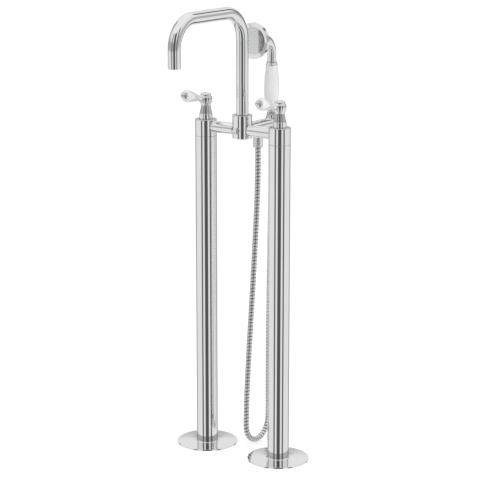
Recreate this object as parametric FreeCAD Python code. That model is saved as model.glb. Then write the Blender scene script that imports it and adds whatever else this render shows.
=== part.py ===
import FreeCAD
import Part
import math
import os

# Floor standing bath filler: two legs, two quarter-turn valves with porcelain levers, a bridge
# with a centre hub, a swivelling swan-neck spout and a hand shower on its hose.
# The origin is on the floor, midway between the legs. +Z is up, the legs stand along X, and the
# spout reaches towards -Y. Sizes are in millimetres.

Vector = FreeCAD.Vector
UP = Vector(0, 0, 1)
RIGHT = Vector(1, 0, 0)
BACK = Vector(0, 1, 0)
FRONT = Vector(0, -1, 0)

# Fits
slip_gap = 0.1          # radial gap between two fixed pieces, one inside the other
turning_gap = 0.05      # radial gap of a shaft that turns or slides in its bore
body_gap = 0.4          # gap between pieces that move past each other
seam_chamfer = 0.4      # broken edge on each side of a joint line

# Layout
leg_spacing = 206.0
bridge_height = 772.0   # height of the bridge's axis above the floor
spout_reach = 252.0
outlet_reach = 63.0     # from the hub's axis back to the hose outlet
handset_reach = 118.0   # from the hub's axis back to the hand shower's axis

# Legs and floor feet
leg_radius = 25.5
leg_wall = 1.5
foot_radius = 52.0
foot_thickness = 2.5
foot_ring_wall = 3.0
foot_ring_height = 32.0
screw_offset = 27.0     # each floor screw hole from the leg's axis, along X and along Y
screw_hole_radius = 2.75
flange_radius = 72.0
flange_rim = 3.0
flange_rise = 2.3       # how much higher the flange is beside the leg than at its rim
flange_sheet = 1.0
leg_seal_width = 2.5
leg_seal_height = 1.4
grub_radius = 2.5
grub_length = 4.2
leg_grub_height = 22.0

# Water inlet and riser inside each leg
inlet_thread_radius = 9.4
inlet_thread_length = 15.0
inlet_radius = 15.0
inlet_height = 34.0
inlet_shoulder = 6.0
riser_radius = 11.0
riser_wall = 1.0
riser_socket = 16.0     # depth of the riser in the inlet
riser_collar = 2.0
riser_collar_height = 3.0
union_radius = 18.0
union_height = 24.0
union_seal = 2.0

# Valve bodies at the leg tops
valve_below = 22.5      # from the bridge's axis down to the joint line with the leg
valve_above = 16.0
valve_tail_radius = 13.2
valve_tail_length = 29.5
valve_bore = 8.0
valve_skirt_height = 10.0
valve_skirt_wall = 2.5
valve_tube_seat = 17.5  # from the valve's axis to the end of the bridge tube
cartridge_radius = 12.0
cartridge_below = 9.0   # cartridge pocket's floor below the bridge's axis
cartridge_wall = 1.7
cartridge_roof = 5.0
cartridge_neck_radius = 9.0
cartridge_neck_height = 14.0
cartridge_window = 4.5
disc_thickness = 3.5
disc_port_radius = 2.6
disc_port_offset = 5.5
spindle_radius = 4.0
spindle_foot = 4.5
bonnet_height = 30.6
bonnet_base_radius = 15.5
bonnet_base_height = 12.5
bonnet_edge = 0.8
bonnet_waist_radius = 12.6
bonnet_top_radius = 11.0

# Levers
lever_tilt = 13.7       # degrees up from the horizontal
lever_axis_above = 60.0  # lever's axis above the bridge's axis, at the hub
lever_hub_radius = 15.1
lever_hub_foot_radius = 10.6
lever_hub_shoulder = 13.0
lever_hub_widest = 1.0  # height of the hub's widest part above the lever's axis
lever_hub_below = 12.9
lever_hub_above = 9.5
lever_boss_radius = 6.4
lever_boss_length = 16.3
lever_collar_length = 6.2
lever_collar_radius = 8.8
lever_collar_bevel = 1.4
lever_collar_waist = 6.7
lever_collar_seat = 7.2  # radius of the collar where it meets the grip
grip_start_radius = 6.2
grip_belly_radius = 13.0
grip_end_radius = 9.6
grip_length = 61.0
grip_belly_share = 0.80  # place of the widest part along the grip
grip_flare = 0.44       # share of the widening that a grip has halfway to its widest part
grip_rounding = 0.28    # share of the narrowing that it has halfway beyond
lever_ring_height = 3.0
lever_ring_radius = 9.2
lever_ring_edge = 1.0
lever_ring_bevel = 2.4
lever_ball_radius = 4.0
lever_ball_stand = 3.2
rod_radius = 2.5
rod_start = 7.5
cap_radius = 12.1
cap_height = 7.2
cap_groove_radius = 10.8
cap_groove = 1.0        # height of the groove under the cap's brim
cap_brim = 3.0
cap_bulge = 0.6
cap_spigot_radius = 8.0
cap_spigot_length = 3.0
hub_screw_radius = 2.0
hub_screw_head_radius = 3.5
hub_screw_head_height = 3.0
hub_screw_length = 11.0

# Bridge, hub and rear arm
bridge_radius = 13.5
bridge_wall = 3.5
hub_radius = 22.8
hub_below = 19.0
hub_above = 35.0
hub_edge = 1.5
hub_chamber_radius = 11.0
hub_floor = 7.0
hub_port_radius = 9.0
hub_tube_seat = 16.0    # from the hub's axis to the end of each tube that enters it
seal_width = 2.4
seal_depth = 1.3
seal_inset = 2.0        # from a tube's end to its seal groove
cradle_stub = 14.0      # from the hand shower's axis forward to the end of the arm's tube
cradle_spigot_length = 12.0
cradle_bell_height = 17.5
cradle_bell_radius = 13.2
cradle_middle_radius = 10.8
cradle_waist_radius = 10.0
cradle_top_radius = 10.4
cradle_lip = 2.0        # height of the rim round the cradle's mouth
cradle_edge = 1.0
cradle_mouth_radius = 9.3
cradle_bore_radius = 8.3
cradle_slot = 15.2      # width of the slot at the back that lets the hose in

# Hose outlet
outlet_radius = 11.7
outlet_collar_drop = 22.5   # from the arm's axis down to the collar's lower face
outlet_thread_radius = 10.0
outlet_thread_length = 16.0
outlet_spigot_radius = 9.4
outlet_bore = 6.2
hose_nut_length = 28.0
hose_nut_floor = 11.0
hose_nut_bevel = 1.2
valve_plug_length = 12.0
valve_plug_wall = 3.2
valve_plug_taper = 1.0  # how much thinner its wall is at its lower end

# Spout
spout_radius = 14.15
spout_wall = 1.65
spout_rise = 235.0      # from the hub's top up to the spout's upper axis
spout_drop = 102.5      # from the upper axis down to its open end
spout_bend = 63.0
spigot_bore = 8.6
spigot_length = 23.0
spigot_groove_width = 6.0
aerator_length = 12.0
aerator_recess = 3.0
aerator_hole_radius = 1.7
aerator_hole_circle = 7.0
aerator_hole_count = 6

# Diverter
diverter_knob_radius = 7.4
diverter_knob_length = 8.5
diverter_knob_edge = 1.4
diverter_stem_radius = 3.0
diverter_gland_radius = 7.0
diverter_gland_length = 10.0
diverter_disc_radius = 8.5
diverter_disc_thickness = 3.0
diverter_disc_place = 14.0  # the disc's rear face behind the hub's axis

# Hand shower
cone_below = 11.0       # the hose cone's reach into the cradle
cone_flange = 3.0
cone_neck_radius = 9.0
cone_neck_height = 4.5
cone_bore = 5.0
ferrule_height = 5.0
ferrule_radius = 14.2
ferrule_foot_radius = 9.6
ferrule_curve_radius = 12.6
ferrule_edge = 1.2
handle_length = 91.0
handle_base_radius = 13.4
handle_belly_radius = 17.6
handle_top_radius = 13.0
handle_belly_share = 0.36
handle_bore = 7.0
water_tube_radius = 6.0
water_tube_wall = 1.0
handset_collar_height = 10.0
handset_collar_radius = 13.8
handset_collar_rim = 2.0
handset_collar_waist = 11.8
handset_collar_end = 11.2
neck_radius = 10.4
neck_wall = 1.5
neck_bend = 35.0
rose_rise = 64.4        # from the handle's top up to the rose's centre
rose_radius = 41.0
rose_face = 39.6        # from the hub's axis back to the rose's front edge
rose_depth = 20.0       # from the front edge back to the neck's end
rose_rim = 10.0         # depth of the rose's side
rose_edge = 1.2
rose_dish = 4.0         # how deep the plate lies behind the front edge
rose_plate_radius = 31.0
rose_plate_thickness = 2.0
rose_lip = 1.5
rose_foot_radius = 11.9
rose_dome_radius = 27.0  # a circle on the back, and how far it rises from the neck's end
rose_dome_rise = 2.8
rose_wall = 1.6
rose_hole_radius = 1.0
rose_rings = ((10.0, 6), (20.0, 12))    # circle's radius and number of holes

# Hose: corners of its route behind the hub, as (distance back, height), chosen by eye
hose_diameter = 14.0
hose_bore = 9.0
rib_depth = 0.9
rib_count = 100
rib_crest = 0.5         # share of the pitch at full diameter
rib_valley_start = 0.65  # shares of the pitch between which the hose is thinnest
rib_valley_end = 0.85
bend_share = 0.45       # how much of the shorter run next to it each bend takes
hose_route = [
    (54.0, 520.0),
    (42.0, 385.0),
    (27.5, 240.0),
    (18.8, 135.0),
    (16.4, 82.0),
    (16.0, 40.1),
    (33.5, 15.9),
    (62.0, 6.6),
    (90.5, 15.9),
    (108.0, 40.1),
    (109.0, 84.0),
    (108.2, 150.0),
    (109.0, 270.0),
    (112.5, 430.0),
    (116.5, 590.0),
]
hose_drop_run = 81.0    # straight run below the outlet
hose_climb_run = 87.0   # straight run up to the hand shower

# Places worked out from the sizes above
sides = (("left", -1), ("right", 1))
valve_floor = bridge_height - valve_below
valve_top = bridge_height + valve_above
pocket_floor = bridge_height - cartridge_below
tail_end = valve_floor - valve_tail_length
riser_top = tail_end - union_seal
riser_bottom = inlet_height - riser_socket
bonnet_top = valve_top + bonnet_height
lever_centre = bridge_height + lever_axis_above
hub_bottom = lever_centre - lever_hub_below
hub_top = lever_centre + lever_hub_above
grip_start = lever_boss_length + lever_collar_length
grip_end = grip_start + grip_length
centre_hub_top = bridge_height + hub_above
spout_top = centre_hub_top + spout_rise
spout_end = spout_top - spout_drop
spigot_radius = hub_chamber_radius - turning_gap
bridge_far = leg_spacing / 2 - valve_tube_seat
bridge_grooves = (hub_tube_seat + seal_inset, bridge_far - seal_inset - seal_width)
arm_grooves = (hub_tube_seat + seal_inset,)
arm_end = handset_reach - cradle_stub
cradle_top = bridge_height + bridge_radius + cradle_bell_height
cone_top = cradle_top + slip_gap + cone_flange + cone_neck_height
handle_bottom = cone_top + ferrule_height
handle_top = handle_bottom + handle_length
rose_height = handle_top + rose_rise
outlet_collar = bridge_height - outlet_collar_drop
hose_nut_bottom = outlet_collar - hose_nut_length
hose_start = Vector(0, outlet_reach, hose_nut_bottom)
hose_end = Vector(0, handset_reach, cradle_top - cone_below)


# Shapes

def save(name, *solids):
    shape = solids[0] if len(solids) == 1 else Part.makeCompound(list(solids))
    shape.exportStep(os.path.join("parts", name + ".step"))


def outline(start, *steps):
    # Closed wire of (radius, height) corners; a pair of corners is an arc through the first.
    edges = []
    first = Vector(start[0], 0, start[1])
    last = first
    for step in steps:
        if isinstance(step[0], tuple):
            through = Vector(step[0][0], 0, step[0][1])
            end = Vector(step[1][0], 0, step[1][1])
            edges.append(Part.Arc(last, through, end).toShape())
        else:
            end = Vector(step[0], 0, step[1])
            edges.append(Part.makeLine(last, end))
        last = end
    edges.append(Part.makeLine(last, first))
    return Part.Wire(edges)


def turned(start, *steps):
    # Solid turned about +Z from such an outline.
    return Part.Face(outline(start, *steps)).revolve(Vector(0, 0, 0), UP, 360)


def dome(radius, low, high):
    # Arc of an outline from (radius, low) over a round top to the axis at the height high.
    rise = high - low
    ball = (radius ** 2 + rise ** 2) / (2 * rise)
    half = math.atan2(radius, ball - rise) / 2
    return ((ball * math.sin(half), high - ball + ball * math.cos(half)), (0, high))


def placed(shape, origin, direction=UP):
    # The shape with its own +Z along the direction and its own origin at the given point.
    moved = shape.copy()
    turn = FreeCAD.Rotation(UP, direction)
    moved.Placement = FreeCAD.Placement(origin, turn).multiply(moved.Placement)
    return moved


def rod(radius, low, high, centre=(0, 0)):
    return Part.makeCylinder(radius, high - low, Vector(centre[0], centre[1], low))


def ring(inner, outer, low, high, centre=(0, 0)):
    return rod(outer, low, high, centre).cut(rod(inner, low, high, centre))


def at_leg(shape, side):
    return placed(shape, Vector(side * leg_spacing / 2, 0, 0))


def swept(radius, path):
    # Solid of a circle carried along a path of tangent lines and arcs.
    start = path.OrderedEdges[0].firstVertex(True).Point
    along = path.OrderedEdges[0].tangentAt(path.OrderedEdges[0].FirstParameter)
    section = Part.Wire([Part.Circle(start, along, radius).toShape()])
    return path.makePipeShell([section], True, False)


def rounded_path(corners, radii):
    # Wire of straight runs joined by tangent arcs, one radius for each inner corner.
    edges = []
    last = corners[0]
    for before, corner, after, radius in zip(corners, corners[1:], corners[2:], radii):
        arriving = (corner - before).normalize()
        leaving = (after - corner).normalize()
        half_turn = arriving.getAngle(leaving) / 2
        tangent = radius * math.tan(half_turn)
        arc_start = corner - arriving * tangent
        arc_end = corner + leaving * tangent
        inward = (leaving - arriving).normalize()
        middle = corner + inward * (radius / math.cos(half_turn) - radius)
        edges.append(Part.LineSegment(last, arc_start).toShape())
        edges.append(Part.Arc(arc_start, middle, arc_end).toShape())
        last = arc_end
    edges.append(Part.LineSegment(last, corners[-1]).toShape())
    return Part.Wire(edges)


# Floor feet, inlets, flanges and legs

def foot():
    ring_radius = leg_radius - leg_wall - slip_gap
    plate = rod(foot_radius, 0, foot_thickness)
    collar = rod(ring_radius, 0, foot_thickness + foot_ring_height)
    bore = rod(ring_radius - foot_ring_wall, foot_thickness, foot_thickness + foot_ring_height)
    body = plate.fuse(collar).cut(bore)
    body = body.cut(rod(inlet_radius + slip_gap, 0, foot_thickness))
    for x in (-screw_offset, screw_offset):
        for y in (-screw_offset, screw_offset):
            body = body.cut(rod(screw_hole_radius, 0, foot_thickness, (x, y)))
    return body.cut(leg_grub_hole()).removeSplitter()


def leg_grub_hole():
    start = Vector(0, leg_radius - leg_wall - slip_gap - foot_ring_wall, leg_grub_height)
    return placed(rod(grub_radius, 0, foot_ring_wall + leg_wall + slip_gap), start, BACK)


def leg_grub():
    end = leg_radius - seam_chamfer
    return placed(rod(grub_radius, -grub_length, 0), Vector(0, end, leg_grub_height), BACK)


def inlet():
    shoulder_top = foot_thickness + inlet_shoulder
    shoulder_radius = leg_radius - leg_wall - foot_ring_wall - 2 * slip_gap
    return turned(
        (inlet_thread_radius, 0),
        (inlet_radius, 0),
        (inlet_radius, foot_thickness),
        (shoulder_radius, foot_thickness),
        (shoulder_radius, shoulder_top),
        (inlet_radius, shoulder_top),
        (inlet_radius, inlet_height),
        (riser_radius + slip_gap, inlet_height),
        (riser_radius + slip_gap, riser_bottom),
        (valve_bore, riser_bottom),
        (valve_bore, inlet_thread_length),
        (inlet_thread_radius, inlet_thread_length),
    )


def flange():
    inner = leg_radius
    top = flange_rim + flange_rise
    return turned(
        (flange_radius - flange_sheet, 0),
        (flange_radius, 0),
        (flange_radius, flange_rim - flange_sheet / 2),
        (flange_radius - flange_sheet / 2, flange_rim),
        (inner, top),
        (inner, top - flange_sheet),
        (flange_radius - flange_sheet, flange_rim - flange_sheet),
    )


def leg_seal():
    low = foot_thickness
    return ring(leg_radius, leg_radius + leg_seal_width, low, low + leg_seal_height)


def leg():
    inner = leg_radius - leg_wall
    tube = turned(
        (inner, foot_thickness),
        (leg_radius, foot_thickness),
        (leg_radius, valve_floor - seam_chamfer),
        (leg_radius - seam_chamfer, valve_floor),
        (inner, valve_floor),
    )
    return tube.cut(leg_grub_hole())


def riser():
    inner = riser_radius - riser_wall
    collar_low = riser_top - riser_collar_height
    return turned(
        (inner, riser_bottom),
        (riser_radius, riser_bottom),
        (riser_radius, collar_low),
        (riser_radius + riser_collar, collar_low),
        (riser_radius + riser_collar, riser_top),
        (inner, riser_top),
    )


def union_nut():
    lip = riser_top - riser_collar_height
    nut_bottom = lip - 2 * riser_collar_height
    hexagon = Part.Face(Part.makePolygon([
        Vector(union_radius * math.cos(turn), union_radius * math.sin(turn), nut_bottom)
        for turn in [math.radians(60 * corner) for corner in range(7)]
    ]))
    body = hexagon.extrude(Vector(0, 0, union_height))
    body = body.cut(rod(riser_radius + slip_gap, nut_bottom, lip))
    return body.cut(rod(valve_tail_radius + slip_gap, lip, nut_bottom + union_height))


def union_washer():
    return ring(riser_radius - riser_wall, valve_tail_radius, riser_top, tail_end)


# Valves

def tube_socket(axis_to_seat, direction):
    # Socket for a tube that enters a body at bridge height, cut from its seat outwards.
    start = direction * axis_to_seat + Vector(0, 0, bridge_height)
    return placed(rod(bridge_radius + slip_gap, 0, hub_radius), start, direction)


def valve_body(inward):
    skirt_radius = leg_radius - leg_wall - slip_gap
    skirt_low = valve_floor - valve_skirt_height
    body = turned(
        (valve_bore, tail_end),
        (valve_tail_radius, tail_end),
        (valve_tail_radius, valve_floor),
        (skirt_radius - valve_skirt_wall, valve_floor),
        (skirt_radius - valve_skirt_wall, skirt_low),
        (skirt_radius, skirt_low),
        (skirt_radius, valve_floor),
        (leg_radius - seam_chamfer, valve_floor),
        (leg_radius, valve_floor + seam_chamfer),
        (leg_radius, valve_top - hub_edge),
        (leg_radius - hub_edge, valve_top),
        (cartridge_radius + slip_gap, valve_top),
        (cartridge_radius + slip_gap, pocket_floor),
        (valve_bore, pocket_floor),
    )
    port = placed(rod(valve_bore, 0, leg_radius), Vector(0, 0, bridge_height), inward)
    return body.cut(port).cut(tube_socket(valve_tube_seat, inward))


def cartridge():
    roof = valve_top - cartridge_roof
    chamber = cartridge_radius - cartridge_wall
    neck_top = valve_top + cartridge_neck_height
    body = turned(
        (chamber, pocket_floor),
        (cartridge_radius, pocket_floor),
        (cartridge_radius, valve_top),
        (cartridge_neck_radius, valve_top),
        (cartridge_neck_radius, neck_top),
        (spindle_radius + turning_gap, neck_top),
        (spindle_radius + turning_gap, roof),
        (chamber, roof),
    )
    window_height = pocket_floor + disc_thickness + spindle_foot + cartridge_window
    across = Vector(-cartridge_radius, 0, window_height)
    return body.cut(placed(rod(cartridge_window, 0, 2 * cartridge_radius), across, RIGHT))


def fixed_disc():
    radius = cartridge_radius - cartridge_wall - slip_gap
    disc = rod(radius, pocket_floor, pocket_floor + disc_thickness)
    for x in (-disc_port_offset, disc_port_offset):
        port = rod(disc_port_radius, pocket_floor, pocket_floor + disc_thickness, (x, 0))
        disc = disc.cut(port)
    return disc


def spindle():
    foot_low = pocket_floor + disc_thickness
    foot_top = foot_low + spindle_foot
    screw_low = lever_centre - hub_screw_length
    shaft_top = lever_centre
    foot_radius_here = cartridge_radius - cartridge_wall - body_gap
    shaft = turned(
        (0, foot_low),
        (foot_radius_here, foot_low),
        (foot_radius_here, foot_top),
        (spindle_radius, foot_top),
        (spindle_radius, shaft_top),
        (hub_screw_radius, shaft_top),
        (hub_screw_radius, screw_low),
        (0, screw_low),
    )
    for y in (-disc_port_offset, disc_port_offset):
        shaft = shaft.cut(rod(disc_port_radius, foot_low, foot_top, (0, y)))
    return shaft


def bonnet():
    base_top = valve_top + bonnet_base_height
    waist = (base_top + bonnet_top) / 2
    inner_top = spindle_radius + 2 * body_gap
    neck_top = valve_top + cartridge_neck_height + slip_gap
    return turned(
        (cartridge_neck_radius + slip_gap, valve_top),
        (bonnet_base_radius, valve_top),
        (bonnet_base_radius, base_top - bonnet_edge),
        (bonnet_base_radius - bonnet_edge, base_top),
        ((bonnet_waist_radius, waist), (bonnet_top_radius, bonnet_top)),
        (inner_top, bonnet_top),
        (inner_top, neck_top),
        (cartridge_neck_radius + slip_gap, neck_top),
    )


# Levers; each piece along the lever lies on its own +Z, which points out along the grip

def along_lever(shape):
    tilt = math.radians(lever_tilt)
    return placed(shape, Vector(0, 0, lever_centre), Vector(0, -math.cos(tilt), math.sin(tilt)))


def lever_hub():
    screw_seat = lever_centre + hub_screw_radius
    recess = hub_top - cap_spigot_length
    body = turned(
        (0, hub_bottom),
        (lever_hub_foot_radius, hub_bottom),
        ((lever_hub_radius, lever_centre + lever_hub_widest), (lever_hub_shoulder, hub_top)),
        (0, hub_top),
    )
    body = body.fuse(along_lever(rod(lever_boss_radius, 0, lever_boss_length)))
    body = body.cut(rod(spindle_radius, hub_bottom, lever_centre))
    body = body.cut(rod(hub_screw_radius, lever_centre, screw_seat))
    body = body.cut(rod(hub_screw_head_radius + slip_gap, screw_seat, recess))
    body = body.cut(rod(cap_spigot_radius + slip_gap, recess, hub_top))
    return body.cut(along_lever(rod(rod_radius, rod_start, lever_boss_length)))


def lever_screw():
    seat = lever_centre + hub_screw_radius
    shank = rod(hub_screw_radius, seat - hub_screw_length, seat)
    return shank.fuse(rod(hub_screw_head_radius, seat, seat + hub_screw_head_height))


def index_cap():
    top = hub_top + cap_height
    brim_low = hub_top + cap_groove
    brim_top = brim_low + cap_brim
    brim_radius = cap_radius - cap_bulge
    return turned(
        (0, hub_top - cap_spigot_length),
        (cap_spigot_radius, hub_top - cap_spigot_length),
        (cap_spigot_radius, hub_top),
        (cap_groove_radius, hub_top),
        (cap_groove_radius, brim_low),
        (brim_radius, brim_low),
        ((cap_radius, brim_low + cap_brim / 2), (brim_radius, brim_top)),
        dome(brim_radius, brim_top, top),
    )


def lever_collar():
    rim_low = lever_boss_length + lever_collar_bevel
    rim_top = rim_low + lever_collar_bevel
    return along_lever(turned(
        (rod_radius, lever_boss_length),
        (lever_boss_radius, lever_boss_length),
        (lever_collar_radius, rim_low),
        (lever_collar_radius, rim_top),
        ((lever_collar_waist, (rim_top + grip_start) / 2), (lever_collar_seat, grip_start)),
        (rod_radius, grip_start),
    ))


def grip_outline(low, high, low_radius, belly_radius, high_radius, share):
    # Corners of a grip's side: a long flare up to its belly, then a rounded draw-in.
    belly = low + share * (high - low)
    rising = ((low_radius + grip_flare * (belly_radius - low_radius), (low + belly) / 2),
              (belly_radius, belly))
    closing = ((belly_radius - grip_rounding * (belly_radius - high_radius), (belly + high) / 2),
               (high_radius, high))
    return [(low_radius, low), rising, closing]


def lever_grip():
    side = grip_outline(
        grip_start, grip_end, grip_start_radius, grip_belly_radius, grip_end_radius,
        grip_belly_share,
    )
    bore = rod_radius + slip_gap
    return along_lever(turned((bore, grip_start), *side, (bore, grip_end)))


def lever_rod():
    return along_lever(rod(rod_radius, rod_start, grip_end + lever_ring_height - lever_ring_edge))


def lever_end():
    ring_top = grip_end + lever_ring_height
    ball_centre = ring_top + lever_ball_stand
    neck = math.sqrt(lever_ball_radius ** 2 - lever_ball_stand ** 2)
    return along_lever(turned(
        (rod_radius, grip_end),
        (lever_ring_radius, grip_end),
        (lever_ring_radius, ring_top - lever_ring_edge),
        (lever_ring_radius - lever_ring_bevel, ring_top),
        (neck, ring_top),
        ((lever_ball_radius, ball_centre), (0, ball_centre + lever_ball_radius)),
        (0, ring_top - lever_ring_edge),
        (rod_radius, ring_top - lever_ring_edge),
    ))


# Bridge, hub, arm and cradle

def tube_along(direction, near, far, grooves):
    # Tube at bridge height from near to far, with a seal groove at each named end.
    body = ring(bridge_radius - bridge_wall, bridge_radius, near, far)
    for low in grooves:
        body = body.cut(ring(bridge_radius - seal_depth, bridge_radius, low, low + seal_width))
    return placed(body, Vector(0, 0, bridge_height), direction)


def tube_seal(direction, low):
    outer = bridge_radius + slip_gap
    body = ring(bridge_radius - seal_depth, outer, low, low + seal_width)
    return placed(body, Vector(0, 0, bridge_height), direction)


def hub():
    low = bridge_height - hub_below
    chamber_low = low + hub_floor
    body = turned(
        (0, low),
        (hub_radius - hub_edge, low),
        (hub_radius, low + hub_edge),
        (hub_radius, centre_hub_top - hub_edge),
        (hub_radius - hub_edge, centre_hub_top),
        (hub_chamber_radius, centre_hub_top),
        (hub_chamber_radius, chamber_low),
        (0, chamber_low),
    )
    middle = Vector(0, 0, bridge_height)
    body = body.cut(placed(rod(hub_port_radius, -hub_tube_seat, hub_tube_seat), middle, RIGHT))
    body = body.cut(placed(rod(hub_port_radius, 0, hub_tube_seat), middle, BACK))
    for direction in (RIGHT, -RIGHT, BACK):
        body = body.cut(tube_socket(hub_tube_seat, direction))
    gland = rod(diverter_gland_radius, 0, hub_radius)
    body = body.cut(placed(gland, middle, FRONT))
    return body.cut(placed(rod(grub_radius, 0, hub_radius), spout_grub_place(), BACK))


def spout_grub_place():
    return Vector(0, 0, centre_hub_top - spigot_length / 2)


def spout_grub():
    tip = spigot_radius - seal_depth + body_gap
    length = hub_radius - seam_chamfer - tip
    return placed(rod(grub_radius, tip, tip + length), spout_grub_place(), BACK)


def diverter_gland():
    outer_face = math.sqrt(hub_radius ** 2 - diverter_gland_radius ** 2) - seam_chamfer
    low = outer_face - diverter_gland_length
    body = ring(diverter_stem_radius + turning_gap, diverter_gland_radius, low, outer_face)
    return placed(body, Vector(0, 0, bridge_height), FRONT)


def diverter_knob():
    low = hub_radius + body_gap
    high = low + diverter_knob_length
    body = turned(
        (diverter_stem_radius, low),
        (diverter_knob_radius - diverter_knob_edge, low),
        (diverter_knob_radius, low + diverter_knob_edge),
        (diverter_knob_radius, high - diverter_knob_edge),
        (diverter_knob_radius - diverter_knob_edge, high),
        (0, high),
        (0, high - diverter_knob_length / 2),
        (diverter_stem_radius, high - diverter_knob_length / 2),
    )
    return placed(body, Vector(0, 0, bridge_height), FRONT)


def diverter_stem():
    disc_low = -diverter_disc_place
    stem_top = hub_radius + body_gap + diverter_knob_length / 2
    disc_top = disc_low + diverter_disc_thickness
    disc = rod(diverter_disc_radius, disc_low, disc_top)
    stem = disc.fuse(rod(diverter_stem_radius, disc_top, stem_top))
    return placed(stem, Vector(0, 0, bridge_height), FRONT)


def rear_arm():
    body = tube_along(BACK, hub_tube_seat, arm_end, arm_grooves)
    low = bridge_height - bridge_radius
    return body.cut(rod(outlet_spigot_radius, low, bridge_height, (0, outlet_reach)))


def hose_outlet():
    thread_low = outlet_collar - outlet_thread_length
    spigot_top = bridge_height - bridge_radius + bridge_wall
    collar = rod(outlet_radius, outlet_collar, bridge_height)
    arm = rod(bridge_radius, -2 * outlet_radius, 2 * outlet_radius)
    body = collar.cut(placed(arm, Vector(0, 0, bridge_height), BACK))
    body = body.fuse(rod(outlet_thread_radius, thread_low, outlet_collar))
    body = body.fuse(rod(outlet_spigot_radius, outlet_collar, spigot_top))
    body = body.cut(rod(outlet_bore, thread_low, bridge_height)).removeSplitter()
    return placed(body, Vector(0, outlet_reach, 0))


def check_valve():
    low = outlet_collar - valve_plug_length / 2
    high = low + valve_plug_length
    body = turned(
        (outlet_bore - valve_plug_wall + valve_plug_taper, low),
        (outlet_bore, low),
        (outlet_bore, high),
        (outlet_bore - valve_plug_wall, high),
    )
    return placed(body, Vector(0, outlet_reach, 0))


def hose_nut():
    low = hose_nut_bottom
    top = outlet_collar - seam_chamfer
    floor = low + hose_nut_floor
    body = turned(
        (hose_bore / 2, low),
        (outlet_radius - hose_nut_bevel, low),
        (outlet_radius, low + hose_nut_bevel),
        (outlet_radius, top - seam_chamfer),
        (outlet_radius - seam_chamfer, top),
        (outlet_thread_radius + slip_gap, top),
        (outlet_thread_radius + slip_gap, floor),
        (hose_bore / 2, floor),
    )
    return placed(body, Vector(0, outlet_reach, 0))


def cradle():
    low = bridge_height - bridge_radius
    arm_top = bridge_height + bridge_radius
    waist = cradle_top - cradle_lip - cradle_edge
    body = turned(
        (0, low),
        (bridge_radius - cradle_edge, low),
        (bridge_radius, low + cradle_edge),
        (bridge_radius, arm_top - cradle_edge),
        (cradle_bell_radius, arm_top),
        ((cradle_middle_radius, (arm_top + waist) / 2), (cradle_waist_radius, waist)),
        (cradle_top_radius, cradle_top - cradle_lip),
        (cradle_top_radius, cradle_top),
        (0, cradle_top),
    )
    stub = placed(rod(bridge_radius, 0, cradle_stub), Vector(0, 0, bridge_height), FRONT)
    spigot_radius_here = bridge_radius - bridge_wall - slip_gap
    spigot = rod(spigot_radius_here, cradle_stub, cradle_stub + cradle_spigot_length)
    body = body.fuse(stub).fuse(placed(spigot, Vector(0, 0, bridge_height), FRONT))
    mouth_low = cradle_top - cone_below
    body = body.cut(rod(cradle_bore_radius, low, mouth_low))
    body = body.cut(Part.makeCone(
        cradle_bore_radius, cradle_mouth_radius, cone_below, Vector(0, 0, mouth_low)))
    slot_corner = Vector(-cradle_slot / 2, 0, low)
    slot = Part.makeBox(cradle_slot, 2 * bridge_radius, cradle_top - low, slot_corner)
    return placed(body.cut(slot).removeSplitter(), Vector(0, handset_reach, 0))


# Spout

def spout():
    foot = centre_hub_top + body_gap
    corners = [
        Vector(0, 0, foot),
        Vector(0, 0, spout_top),
        Vector(0, -spout_reach, spout_top),
        Vector(0, -spout_reach, spout_end),
    ]
    path = rounded_path(corners, [spout_bend, spout_bend])
    body = swept(spout_radius, path).cut(swept(spout_radius - spout_wall, path))
    low = centre_hub_top - spigot_length
    groove = spigot_radius - seal_depth
    middle = spout_grub_place().z
    spigot = turned(
        (spigot_bore, low),
        (spigot_radius, low),
        (spigot_radius, low + seal_inset),
        (groove, low + seal_inset),
        (groove, low + seal_inset + seal_width),
        (spigot_radius, low + seal_inset + seal_width),
        (spigot_radius, middle - spigot_groove_width / 2),
        (groove, middle - spigot_groove_width / 2),
        (groove, middle + spigot_groove_width / 2),
        (spigot_radius, middle + spigot_groove_width / 2),
        (spigot_radius, centre_hub_top - seal_inset - seal_width),
        (groove, centre_hub_top - seal_inset - seal_width),
        (groove, centre_hub_top - seal_inset),
        (spigot_radius, centre_hub_top - seal_inset),
        (spigot_radius, foot),
        (spout_radius - spout_wall, foot),
        (spout_radius - spout_wall, foot + bridge_wall),
        (spigot_bore, foot + bridge_wall),
    )
    spigot = spigot.fuse(ring(spigot_radius, spout_radius, foot, foot + bridge_wall))
    return body.fuse(spigot).removeSplitter()


def spout_seal(low):
    return ring(spigot_radius - seal_depth, spigot_radius, low, low + seal_width)


def aerator():
    low = spout_end + aerator_recess
    body = rod(spout_radius - spout_wall, low, low + aerator_length)
    for count in range(aerator_hole_count):
        turn = 2 * math.pi * count / aerator_hole_count
        centre = (aerator_hole_circle * math.cos(turn), aerator_hole_circle * math.sin(turn))
        body = body.cut(rod(aerator_hole_radius, low, low + aerator_length, centre))
    return placed(body, Vector(0, -spout_reach, 0))


# Hand shower

def hose_cone():
    low = cradle_top - cone_below
    flange_low = cradle_top + slip_gap
    flange_top = flange_low + cone_flange
    body = turned(
        (cone_bore, low),
        (cradle_bore_radius - body_gap, low),
        (cradle_mouth_radius - body_gap, flange_low),
        (cradle_top_radius, flange_low),
        (cradle_top_radius, flange_top),
        (cone_neck_radius, flange_top),
        (cone_neck_radius, cone_top),
        (cone_bore, cone_top),
    )
    return placed(body, Vector(0, handset_reach, 0))


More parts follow.
